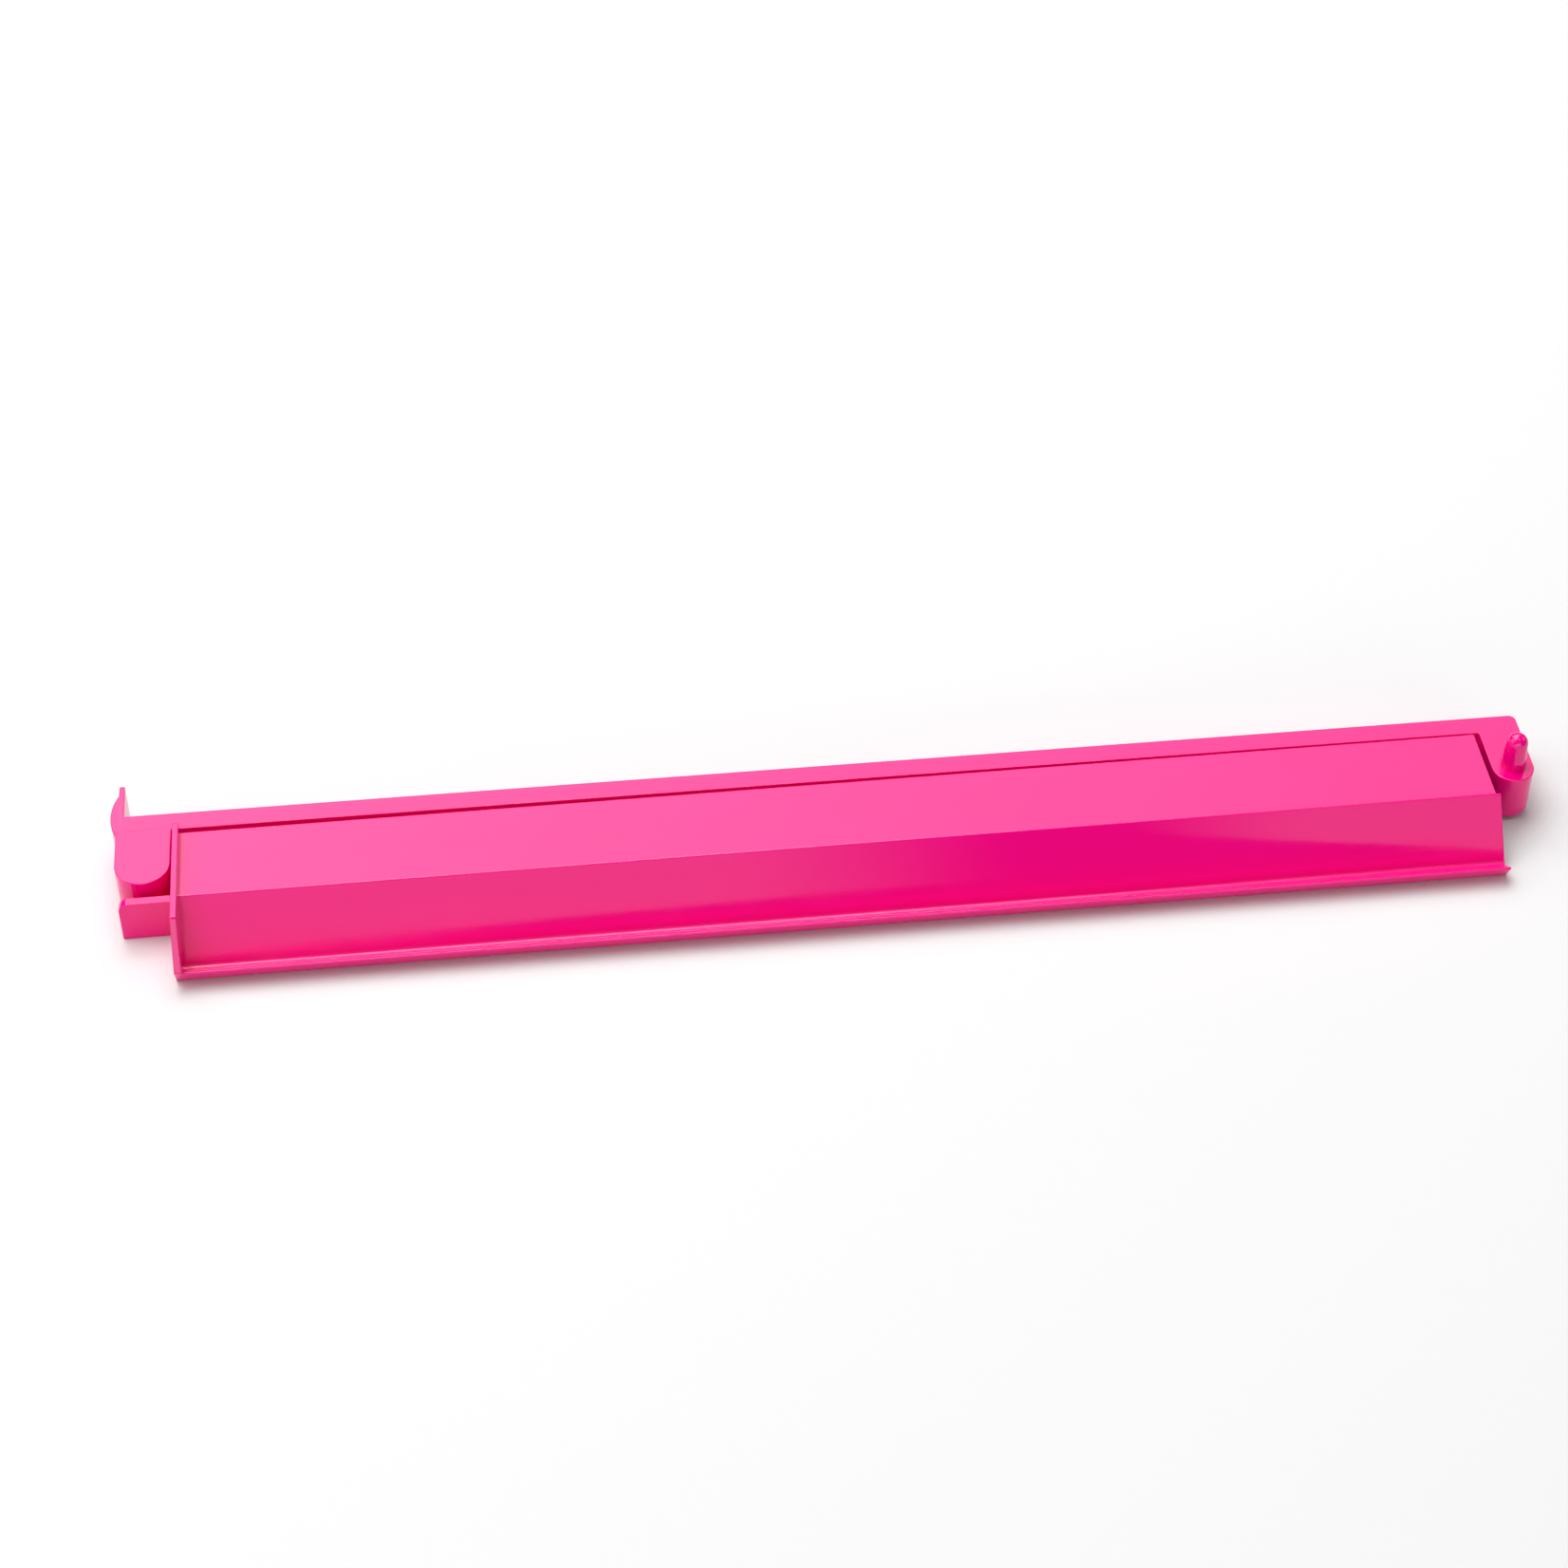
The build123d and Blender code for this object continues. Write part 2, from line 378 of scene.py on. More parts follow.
        height = chosen(
            maths("SUBTRACT", given["End"], one_less("SINE", far, end_round)),
            maths("ADD", given["Start"], one_less("COSINE", near, start_round)),
        )
        inset = chosen(one_less("COSINE", far, end_round), one_less("SINE", near, start_round))
        wall = self._moved(
            grid,
            self._sampled(section, place, point),
            self._vector("SCALE", self._sampled(section, draw_in, point), inset),
            height,
        )
        first_face = self._moved(section, place, self._vector("SCALE", draw_in, start_round), given["Start"])
        last_face = self._moved(section, place, self._vector("SCALE", draw_in, end_round), given["End"])

        joined = wire.add("GeometryNodeJoinGeometry")
        for part in (wall, wire.result("GeometryNodeFlipFaces", {0: first_face}), last_face):
            self.tree.links.new(part, joined.inputs[0])
        whole = {"Geometry": joined.outputs[0], "Distance": WELD * MM}
        return wire.result("GeometryNodeMergeByDistance", whole)

    def _placed(self, solid: Socket, given: Sockets) -> Socket:
        """Turns the solid to its axes in the frame and gives it its material.

        Args:
            solid: The solid along its own Z.
            given: The tree's inputs.

        Returns:
            The finished solid.
        """
        wire = self.wire
        own = wire.add("ShaderNodeSeparateXYZ", {0: wire.result("GeometryNodeInputPosition")}).outputs
        across, up, along = (
            self._vector("SCALE", given[name], part) for name, part in zip(("Across", "Up", "Along"), own)
        )
        turned = self._vector("ADD", self._vector("ADD", across, up), along)
        moved = wire.result("GeometryNodeSetPosition", {"Geometry": solid, "Position": turned})
        real = wire.result("GeometryNodeRealizeInstances", {0: moved})
        return wire.result("GeometryNodeSetMaterial", {"Geometry": real, "Material": given["Material"]})


@dataclass
class Prism:
    """A section swept between two places, with its end edges rounded, in millimetres."""

    name: str
    outline: Outline
    sweep: Sweep
    start: float
    end: float
    start_round: float = 0.0
    end_round: float = 0.0
    round_steps: int = 4

    def make(self, tree: SweepTree, material: bpy.types.Material) -> bpy.types.Object:
        """Builds the solid with the sweep tree.

        Args:
            tree: The shared tree.
            material: Material of the solid.

        Returns:
            An object with a plain closed mesh.
        """
        points = self.outline.rounded()
        mesh = bpy.data.meshes.new(self.name + "_section")
        mesh.from_pydata([(p.x * MM, p.y * MM, 0.0) for p, _ in points], [], [range(len(points))])
        draw_in = mesh.attributes.new(DRAW_IN, "FLOAT_VECTOR", "POINT")
        draw_in.data.foreach_set("vector", [v for _, d in points for v in (d.x, d.y, 0.0)])
        carrier = new_object(self.name, mesh)
        modifier = carrier.modifiers.new("sweep", "NODES")
        modifier.node_group = tree.tree
        across, up, along = self.sweep.value
        sizes = {
            "Start": self.start * MM,
            "End": self.end * MM,
            "Start Round": self.start_round * MM,
            "End Round": self.end_round * MM,
            "Round Steps": self.round_steps,
            "Across": Vector(across),
            "Up": Vector(up),
            "Along": Vector(along),
            "Material": material,
        }
        for name, value in sizes.items():
            modifier[tree.sockets[name]] = value
        solid = plain_copy(carrier)
        bpy.data.objects.remove(carrier)
        return solid


@dataclass
class Lathe:
    """A profile of (radius, height) points turned about an upright axis, in millimetres."""

    name: str
    profile: list[tuple[float, float]]
    centre: tuple[float, float] = (0.0, 0.0)
    segments: int = 64

    def make(self, material: bpy.types.Material) -> bpy.types.Object:
        """Turns the profile.

        Args:
            material: Material of the solid.

        Returns:
            An object with a plain closed mesh.
        """
        shape = bmesh.new()
        rings = []
        for radius, height in self.profile:
            count = self.segments if radius > WELD else 1
            turns = [2 * math.pi * k / self.segments for k in range(count)]
            rings.append([
                shape.verts.new((
                    (self.centre[0] + radius * math.cos(t)) * MM,
                    (self.centre[1] + radius * math.sin(t)) * MM,
                    height * MM,
                ))
                for t in turns
            ])
        for lower, upper in zip(rings, rings[1:]):
            for k in range(self.segments):
                n = k + 1
                around = [(lower, k), (lower, n), (upper, n), (upper, k)]
                shape.faces.new(list(dict.fromkeys(ring[i % len(ring)] for ring, i in around)))
        bmesh.ops.recalc_face_normals(shape, faces=shape.faces)
        mesh = bpy.data.meshes.new(self.name)
        shape.to_mesh(mesh)
        shape.free()
        mesh.materials.append(material)
        return new_object(self.name, mesh)


def plain_copy(source: bpy.types.Object) -> bpy.types.Object:
    """Makes a plain mesh of an object's evaluated one, facing outwards.

    Args:
        source: The object, which stays as it is.

    Returns:
        A new object with the plain mesh.
    """
    graph = bpy.context.evaluated_depsgraph_get()
    mesh = bpy.data.meshes.new_from_object(source.evaluated_get(graph))
    shape = bmesh.new()
    shape.from_mesh(mesh)
    bmesh.ops.recalc_face_normals(shape, faces=shape.faces)
    shape.to_mesh(mesh)
    shape.free()
    return new_object(source.name, mesh)


def combine(body: bpy.types.Object, tools: list[bpy.types.Object], join: Join) -> bpy.types.Object:
    """Fuses solids to a body or cuts them from it.

    Args:
        body: The solid that is kept.
        tools: The solids that are fused or cut, which are removed afterwards.
        join: What to do.

    Returns:
        The new solid.
    """
    for tool in tools:
        modifier = body.modifiers.new(join.name.lower(), "BOOLEAN")
        modifier.operation = join.value
        modifier.solver = "EXACT"
        modifier.object = tool
        result = plain_copy(body)
        bpy.data.objects.remove(body)
        bpy.data.objects.remove(tool)
        body = result
    return body


# The two mouldings


@dataclass(frozen=True)
class Snap:
    """Round of the snap pivot with one bead and a bevelled top, in millimetres."""

    radius: float
    top: float
    bead_z: float = 5.4           # height of the bead's middle
    bead_half: float = 0.35       # half the width of its crest
    bead_out: float = 0.15        # how far it stands out
    lead: float = 0.5             # bevel at the top

    def profile(self, foot: float) -> list[tuple[float, float]]:
        """Lists the profile, from the axis at its foot to the axis at its top.

        Args:
            foot: Height of its foot.

        Returns:
            Points of radius and height.
        """
        crest = self.radius + self.bead_out
        return [
            (0, foot),
            (self.radius, foot),
            (self.radius, self.bead_z - self.bead_half - self.bead_out),
            (crest, self.bead_z - self.bead_half),
            (crest, self.bead_z + self.bead_half),
            (self.radius, self.bead_z + self.bead_half + self.bead_out),
            (self.radius, self.top - self.lead),
            (self.radius - self.lead, self.top),
            (0, self.top),
        ]


@dataclass
class Moulding(ABC):
    """A piece moulded in one shot: solids that fuse, and solids that are cut away, in millimetres."""

    tree: SweepTree
    material: bpy.types.Material
    name: str = ""
    node: str = ""
    body: str = ""
    slot: Slot = Slot.BASE
    edge_soft: float = 0.15       # round of the edges that have no radius of their own

    @abstractmethod
    def solids(self) -> list[bpy.types.Object]:
        """The solids that fuse into the moulding."""

    def cuts(self) -> list[bpy.types.Object]:
        """The solids cut away from it."""
        return []

    def turned(self, mesh: bpy.types.Mesh) -> None:
        """Turns the finished mesh to its resting place."""

    def make(self) -> bpy.types.Object:
        """Builds the moulding as one closed mesh, dressed and riding on its body.

        Returns:
            The finished piece.
        """
        first, *others = self.solids()
        fused = combine(combine(first, others, Join.FUSE), self.cuts(), Join.CUT)
        self.tidy(fused.data)
        self.turned(fused.data)
        shade = fused.modifiers.new("flat_faces", "WEIGHTED_NORMAL")
        shade.keep_sharp = True
        piece = plain_copy(fused)
        bpy.data.objects.remove(fused)
        piece.name = self.name
        piece.data.name = self.name
        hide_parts(self.node)
        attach(piece, self.body)
        log.info("%s: %d faces, rides on %s", piece.name, len(piece.data.polygons), self.body)
        return piece

    @staticmethod
    def tidy(mesh: bpy.types.Mesh) -> None:
        """Welds what the fusing left apart, and marks the crisp edges.

        Args:
            mesh: The fused mesh, which is changed.
        """
        shape = bmesh.new()
        shape.from_mesh(mesh)
        bmesh.ops.remove_doubles(shape, verts=shape.verts, dist=WELD * MM)
        bmesh.ops.dissolve_degenerate(shape, edges=shape.edges, dist=WELD * MM)
        bmesh.ops.recalc_face_normals(shape, faces=shape.faces)
        shape.to_mesh(mesh)
        shape.free()
        mesh.attributes.remove(mesh.attributes[DRAW_IN])
        mesh.shade_smooth()
        mesh.set_sharp_from_angle(angle=SMOOTH_TURN)


@dataclass
class ChannelBase(Moulding):
    """Channel with its gutter and lip, end plate, hinge floor, guard wall and snap stud."""

    name: str = "channel_base"
    node: str = "base_channel"
    body: str = "base"
    slot: Slot = Slot.BASE
    wall: float = 1.3             # plate, clamp wall and sloping wall
    edge_r: float = 0.35          # rounded edges along the section
    tip_r: float = 0.2            # thin tips
    plate_width: float = 13.65    # from the clamp face to the top of the sloping wall
    slope_run: float = 6.9        # how far the wall slopes out
    gutter_z: float = 1.05        # bottom of the gutter
    gutter_r: float = 0.6         # round in the gutter
    lip_run: float = 3.3          # from the gutter out to the lip
    lip_top: float = 3.6          # height of the lip
    lip_foot: float = 1.95        # how far the lip's outer face slopes back
    flap_over: float = 0.75       # how far the flap passes the plate
    plate_t: float = 0.95         # end plate
    plate_rise: float = 1.85      # height of the end plate over the top plate
    plate_back: float = 0.6       # how far the end plate passes the clamp face
    plate_nose: float = 6.15      # from the sloping wall's top to the end plate's upper corner
    plate_corner_r: float = 0.6   # its upper corners
    plate_draft: float = 0.35     # how much thicker it is at its foot
    barrel_r: float = 4.2         # hinge barrel of the arm
    barrel_gap: float = 0.5       # between the barrel and the end plate
    floor_t: float = 1.3          # hinge floor
    floor_back: float = 4.2       # behind the hinge axis
    floor_corner_r: float = 1.2   # its free corner
    guard_gap: float = 1.25       # between the barrel and the guard wall
    guard_t: float = 1.45         # guard wall
    guard_top: float = 7.35       # its height
    guard_corner_r: float = 1.6   # its upper corner
    wall_sink: float = 0.4        # shares of the end plate's thickness that parts sink into it,
    channel_sink: float = 0.5     # each one different, so that no two ends share a plane
    floor_sink: float = 0.45
    guard_sink: float = 0.55
    snap: Snap = Snap(radius=2.2, top=6.6)  # snap stud
    low: Vector = field(default_factory=lambda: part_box("base_channel")[0] / MM)
    high: Vector = field(default_factory=lambda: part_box("base_channel")[1] / MM)

    def __post_init__(self) -> None:
        """Works out the places that follow from the sizes and the frame."""
        self.flap_end = self.high.x
        self.plate_end = self.flap_end - self.flap_over
        self.top = self.high.z - self.plate_rise
        self.clamp_y = self.high.y - self.plate_back
        self.front_y = self.clamp_y - self.plate_width
        self.gutter_y = self.front_y - self.slope_run
        self.lip_y = self.gutter_y - self.lip_run
        self.plate_x = self.barrel_r + self.barrel_gap
        self.inside_x = self.plate_x + self.plate_t
        drop = self.top - self.gutter_z
        length = math.hypot(self.slope_run, drop)
        self.slope = self.slope_run / drop
        self.wall_across = self.wall * length / drop
        self.wall_end = (
            self.front_y + self.wall * drop / length,
            self.top - self.wall * self.slope_run / length,
        )

    def wall_y(self, height: float, inside: float = 0.0) -> float:
        """Y of the sloping wall at a height, on its face or inside it."""
        return self.front_y - self.slope * (self.top - height) + inside

    def in_end_plate(self, share: float) -> float:
        """X at a share of the end plate's thickness."""
        return self.plate_x + self.plate_t * share

    def wall_and_gutter(self) -> Prism:
        """Sloping wall, gutter and lip, which run on as a flap past the plate's open end.

        Returns:
            The part, ready to be swept.
        """
        outline = Outline([
            Corner(self.front_y, self.top, self.edge_r),
            Corner(self.gutter_y, self.gutter_z, self.gutter_r),
            Corner(self.lip_y + SEAM, self.lip_top, self.tip_r),
            Corner(self.lip_y + self.lip_foot + SEAM, SEAM, self.edge_r),
            Corner(self.wall_y(SEAM, self.wall_across), SEAM, self.tip_r),
            Corner(*self.wall_end, self.tip_r),
        ])
        start, soft = self.in_end_plate(self.wall_sink), self.edge_soft
        return Prism("wall_and_gutter", outline, Sweep.ALONG_X, start, self.flap_end, end_round=soft)

    def plate_and_clamp_wall(self) -> Prism:
        """Top plate and clamp wall, with a shank that sinks into the sloping wall.

        Returns:
            The part, ready to be swept.
        """
        inner_y = self.clamp_y - self.wall
        under = self.top - self.wall
        shank = under - self.wall
        outline = Outline([
            Corner(self.clamp_y, 2 * SEAM, self.edge_r),
            Corner(self.clamp_y, self.top, self.edge_r),
            Corner(self.front_y + SEAM, self.top, self.edge_r),
            Corner(self.wall_y(shank, SEAM), shank),
            Corner(self.wall_y(shank, self.wall_across - SEAM), shank),
            Corner(self.wall_y(under, self.wall_across - SEAM), under, self.edge_r),
            Corner(inner_y, under, self.edge_r),
            Corner(inner_y, 2 * SEAM, self.edge_r),
        ])
        start, soft = self.in_end_plate(self.channel_sink), self.edge_soft
        return Prism("plate_and_clamp_wall", outline, Sweep.ALONG_X, start, self.plate_end, end_round=soft)

    def end_plate(self) -> Prism:
        """Raised plate across the channel beside the hinge.

        Returns:
            The part, ready to be swept.
        """
        outline = Outline([
            Corner(self.high.y, 0, self.tip_r),
            Corner(self.high.y, self.high.z, self.plate_corner_r),
            Corner(self.front_y - self.plate_nose, self.high.z, self.plate_corner_r),
            Corner(self.lip_y, self.lip_top, self.tip_r),
            Corner(self.lip_y + self.lip_foot, 0, self.edge_r),
        ])
        soft = self.edge_soft
        return Prism("end_plate", outline, Sweep.ALONG_X, self.plate_x, self.inside_x, soft, soft)

    def drafted(self, plate: bpy.types.Object) -> bpy.types.Object:
        """Thickens the end plate towards its foot, on the hinge side.

        Args:
            plate: The end plate, which is changed.

        Returns:
            The same end plate.
        """
        middle = self.in_end_plate(0.5) * MM
        for vertex in plate.data.vertices:
            if vertex.co.x < middle:
                vertex.co.x -= self.plate_draft * MM * (1 - vertex.co.z / (self.high.z * MM))
        return plate

    def hinge_floor(self) -> Prism:
        """Floor under the hinge barrel.

        Returns:
            The part, ready to be swept.
        """
        front = -self.barrel_r - self.guard_gap - self.guard_t + SEAM
        end = self.in_end_plate(self.floor_sink)
        outline = Outline([
            Corner(end, front),
            Corner(end, self.floor_back),
            Corner(self.low.x + SEAM, self.floor_back, self.floor_corner_r),
            Corner(self.low.x + SEAM, front, self.tip_r),
        ])
        soft = self.edge_soft
        return Prism("hinge_floor", outline, Sweep.ALONG_Z, 2 * SEAM, self.floor_t, soft, soft)

    def guard_wall(self) -> Prism:
        """Short wall in front of the barrel, with one rounded upper corner.

        Returns:
            The part, ready to be swept.
        """
        inner = -self.barrel_r - self.guard_gap
        end = self.in_end_plate(self.guard_sink)
        outline = Outline([
            Corner(SEAM, end),
            Corner(self.guard_top, end),
            Corner(self.guard_top, self.low.x, self.guard_corner_r),
            Corner(SEAM, self.low.x, self.tip_r),
        ])
        soft = self.edge_soft
        return Prism("guard_wall", outline, Sweep.ALONG_Y, inner - self.guard_t, inner, soft, soft)

    def stud(self) -> Lathe:
        """Snap stud with its bead and lead-in."""
        return Lathe("stud", self.snap.profile(self.floor_t / 2))

    def solids(self) -> list[bpy.types.Object]:
        """The five swept parts of the channel and the hinge end, and the stud.

        Returns:
            The solids, the one that the others fuse to first.
        """
        end_plate = self.drafted(self.end_plate().make(self.tree, self.material))
        channel = [self.wall_and_gutter(), self.plate_and_clamp_wall()]
        swept = [
            part.make(self.tree, self.material)
            for part in (*channel, self.hinge_floor(), self.guard_wall())
        ]
        return [*swept, end_plate, self.stud().make(self.material)]


@dataclass
class ClampArm(Moulding):
    """Bar with its hinge barrel, thumb tab, hook and finger peg."""

    name: str = "clamping_arm"
    node: str = "clamp_arm"
    body: str = "arm"
    slot: Slot = Slot.ARM
    base: ChannelBase | None = None
    drop: float = 1.0             # the bar's top lies this far below the top plate
    gap: float = 1.8              # from the clamp face to the bar, at the hinge
    bar_t: float = 3.55           # thickness of the bar
    toe_in: float = 0.2           # degrees that the arm leans towards the clamp face
    barrel_lift: float = 0.25     # the barrel over the bar
    barrel_back: float = 0.15     # past the bar's inner face
    barrel_corner_r: float = 0.7  # its rear corners
    under_clear: float = 0.15     # between the hinge floor and the barrel
    step_clear: float = 0.35      # between the floor's corner and the step
    tab_root_t: float = 1.1       # thumb tab at the barrel
    tab_reach: float = 6.7        # how far the tab stands behind the bar
    tab_tip_t: float = 0.9        # thickness of its tip
    tab_tip_l: float = 2.0        # length of its thin tip
    tab_bulge: float = 0.95       # how far the thumb side swells
    tab_tip_round: float = 0.4    # round of its tip, as a share of its thickness
    tab_blend_r: tuple[float, float] = (1.2, 0.5)  # blends at the tip and at the barrel
    hook_gap: float = 1.25        # between the plate's open end and the hook
    boss_r: float = 3.3           # round end of the hook
    boss_reach: float = 0.6       # how far its centre lies past the hinge's line
    hook_corner_r: float = 1.1    # outer corner
    inner_corner_r: float = 0.3   # inner corner
    hook_foot_r: float = 0.5      # lower edge of the hook
    peg_r: float = 2.0            # finger peg at its foot
    peg_top_r: float = 1.65       # under its dome
    peg_shift: float = 0.2        # nearer the clip's end than the round end's centre
    pivot_clear: float = 0.06     # round the stud
    bead_clear: float = 0.15      # over and under the stud's bead
    bore_over: float = 0.4        # over the stud's top
    relief_reach: float = 12.6    # half the size of the room for the hinge floor
    relief_under: float = 1.0     # how far below the arm that room starts
    low: Vector = field(default_factory=lambda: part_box("clamp_arm")[0] / MM)
    high: Vector = field(default_factory=lambda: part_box("clamp_arm")[1] / MM)

    def __post_init__(self) -> None:
        """Works out the places that follow from the sizes, the base and the frame."""
        base = self.base
        self.barrel_r = base.barrel_r
        self.bar_top = base.top - self.drop
        self.barrel_top = self.bar_top + self.barrel_lift
        self.inner_y = base.clamp_y + self.gap
        self.outer_y = self.inner_y + self.bar_t
        self.hook_x = base.plate_end + self.hook_gap
        self.hook_end = self.hook_x + 2 * self.boss_r
        self.tab_x = -self.barrel_r + self.tab_root_t
        corner = math.hypot(-base.low.x - base.floor_corner_r, base.floor_back - base.floor_corner_r)
        self.step_y = corner + base.floor_corner_r + self.step_clear

    def bar(self) -> Prism:
        """Straight bar, from the tab to the hook.

        Returns:
            The part, ready to be swept.
        """
        start = self.tab_x - self.tab_tip_t / 2
        outline = Outline([
            Corner(start, self.inner_y),
            Corner(self.hook_x + self.boss_r, self.inner_y),
            Corner(self.hook_x + self.boss_r, self.outer_y),
            Corner(start, self.outer_y),
        ])
        soft = self.edge_soft
        return Prism("bar", outline, Sweep.ALONG_Z, self.low.z, self.bar_top, soft, soft)

    def hook(self) -> Prism:
        """Hook with its round end and rounded foot.

        Returns:
            The part, ready to be swept.
        """
        tip_y = -self.boss_reach - self.boss_r
        back_x = self.hook_x - 2 * self.boss_r
        outline = Outline([
            Corner(back_x, self.inner_y + SEAM),
            Corner(self.hook_x, self.inner_y + SEAM, self.inner_corner_r),
            Corner(self.hook_x, tip_y, self.boss_r),
            Corner(self.hook_end, tip_y, self.boss_r),
            Corner(self.hook_end, self.outer_y - SEAM, self.hook_corner_r),
            Corner(back_x, self.outer_y - SEAM),
        ])
        low, high = self.low.z + SEAM, self.bar_top - SEAM
        return Prism("hook", outline, Sweep.ALONG_Z, low, high, self.hook_foot_r, self.edge_soft)

    def thumb_tab(self) -> Prism:
        """Upright tab: flat inside, swelling outside, thin at its tip.

        Returns:
            The part, ready to be swept.
        """
        tip_y = self.outer_y + self.tab_reach
        tip_x = self.tab_x - self.tab_tip_t
        swell_y = tip_y - self.tab_tip_l
        root_y = self.inner_y - self.barrel_back - self.barrel_corner_r
        tip_r, root_r = self.tab_blend_r
        top, foot = Vector((tip_x, swell_y)), Vector((-self.barrel_r, root_y))
        peak = Vector((-self.barrel_r - self.tab_bulge, (swell_y + root_y) / 2))
        swell = [Corner(p.x, p.y) for p in arc_through(top, peak, foot, CURVE_STEPS)]
        round_tip = self.tab_tip_t * self.tab_tip_round
        outline = Outline([
            Corner(*top, tip_r),
            *swell,
            Corner(foot.x + SEAM, foot.y, root_r),
            Corner(-self.barrel_r + SEAM, 0),
            Corner(self.tab_x, 0),
            Corner(self.tab_x, tip_y, round_tip),
            Corner(tip_x, tip_y, round_tip),
        ])
        soft = self.edge_soft
        low, high = self.low.z + 2 * SEAM, self.bar_top - 2 * SEAM
        return Prism("thumb_tab", outline, Sweep.ALONG_Z, low, high, soft, soft)

    def barrel(self) -> Prism:
        """Hinge barrel: half round in front, square behind.

        Returns:
            The part, ready to be swept.
        """
        back_y = self.inner_y + self.barrel_back
        outline = Outline([
            Corner(-self.barrel_r, -self.barrel_r, self.barrel_r),
            Corner(self.barrel_r, -self.barrel_r, self.barrel_r),
            Corner(self.barrel_r, back_y, self.barrel_corner_r),
            Corner(-self.barrel_r, back_y, self.barrel_corner_r),
        ])
        low, soft = self.low.z + 3 * SEAM, self.edge_soft
        return Prism("barrel", outline, Sweep.ALONG_Z, low, self.barrel_top, soft, soft)

    def peg(self) -> Lathe:
        """Tapered peg with a domed top.

        Returns:
            The turned peg.
        """
        root, top = self.bar_top - self.boss_r / 2, self.high.z
        shoulder = top - self.peg_top_r
        quarter = math.pi / 2
        dome = [
            (self.peg_top_r * math.cos(t), shoulder + self.peg_top_r * math.sin(t))
            for t in (quarter * k / CURVE_STEPS for k in range(CURVE_STEPS))
        ]
        return Lathe(
            "peg",
            [(0, root), (self.peg_r, root), (self.peg_r, self.bar_top), *dome, (0, top)],
            (self.hook_x + self.boss_r + self.peg_shift, 0),
        )

    def floor_relief(self) -> Prism:
        """Room under the barrel for the hinge floor.

        Returns:
            The swept solid that is cut away.
        """
        reach = self.relief_reach
        outline = Outline([
            Corner(-reach, -reach),
            Corner(reach, -reach),
            Corner(reach, self.step_y),
            Corner(-reach, self.step_y),
        ])
        roof = self.base.floor_t + self.under_clear
        return Prism("floor_relief", outline, Sweep.ALONG_Z, self.low.z - self.relief_under, roof)

    def bore(self) -> Lathe:
        """Blind bore round the stud.

        Returns:
            The turned solid that is cut away.
        """
        stud = self.base.snap
        bore = replace(
            stud,
            radius=stud.radius + self.pivot_clear,
            top=stud.top + self.bore_over,
            bead_half=stud.bead_half + self.bead_clear,
        )
        return Lathe("bore", bore.profile(0))

    def solids(self) -> list[bpy.types.Object]:
        """Bar, hook, thumb tab, barrel and peg.

        Returns:
            The solids, the one that the others fuse to first.
        """
        swept = [
            part.make(self.tree, self.material)
            for part in (self.bar(), self.hook(), self.thumb_tab(), self.barrel())
        ]
        return [*swept, self.peg().make(self.material)]

    def cuts(self) -> list[bpy.types.Object]:
        """Floor relief and pivot bore."""
        return [self.floor_relief().make(self.tree, self.material), self.bore().make(self.material)]

    def turned(self, mesh: bpy.types.Mesh) -> None:
        """Leans the arm towards the clamp face about the hinge."""
        mesh.transform(Matrix.Rotation(-math.radians(self.toe_in), 4, "Z"))


# Finishes


class Effect(ABC):
    """A shader group that the finishes share: object coordinates and amounts in, one value out."""

    name = ""
    inputs: dict[str, Kind] = {}
    output = ("", Kind.NUMBER)

    def __init__(self) -> None:
        """Makes the group with its named sockets and its nodes."""
        self.group = bpy.data.node_groups.new(self.name, "ShaderNodeTree")
        self.wire = Wiring(self.group)
        self.wire.declare({"Coordinates": Kind.VECTOR, **self.inputs}, *self.output)
        given = self.wire.add("NodeGroupInput").outputs
        self.wire.add("NodeGroupOutput", {0: self.build(given)})

    @abstractmethod
    def build(self, given: Sockets) -> Socket:
        """Wires the group from its inputs and returns what it puts out."""

    def noise(self, place: Socket, waves: float, detail: float, twist: float = 0.0) -> Socket:
        """Adds a noise of so many waves to a metre and returns its value."""
        inputs = {"Vector": place, "Scale": waves, "Detail": detail, "Distortion": twist}
        return self.wire.result("ShaderNodeTexNoise", inputs)

    def drawn_out(self, place: Socket, waves: tuple[int, int, int], turn: float = 0.0) -> Socket:
        """Scales the coordinates so that a noise of one wave has so many to a metre along each axis."""
        inputs = {"Vector": place, "Rotation": (0.0, 0.0, turn), "Scale": waves}
        return self.wire.result("ShaderNodeMapping", inputs)

    def share(self, value: Socket, limits: tuple[float, float]) -> Socket:
        """Spreads the values between two limits over 0 to 1."""
        inputs = {"Value": value, "From Min": limits[0], "From Max": limits[1], "To Max": 1.0}
        return self.wire.result("ShaderNodeMapRange", inputs)


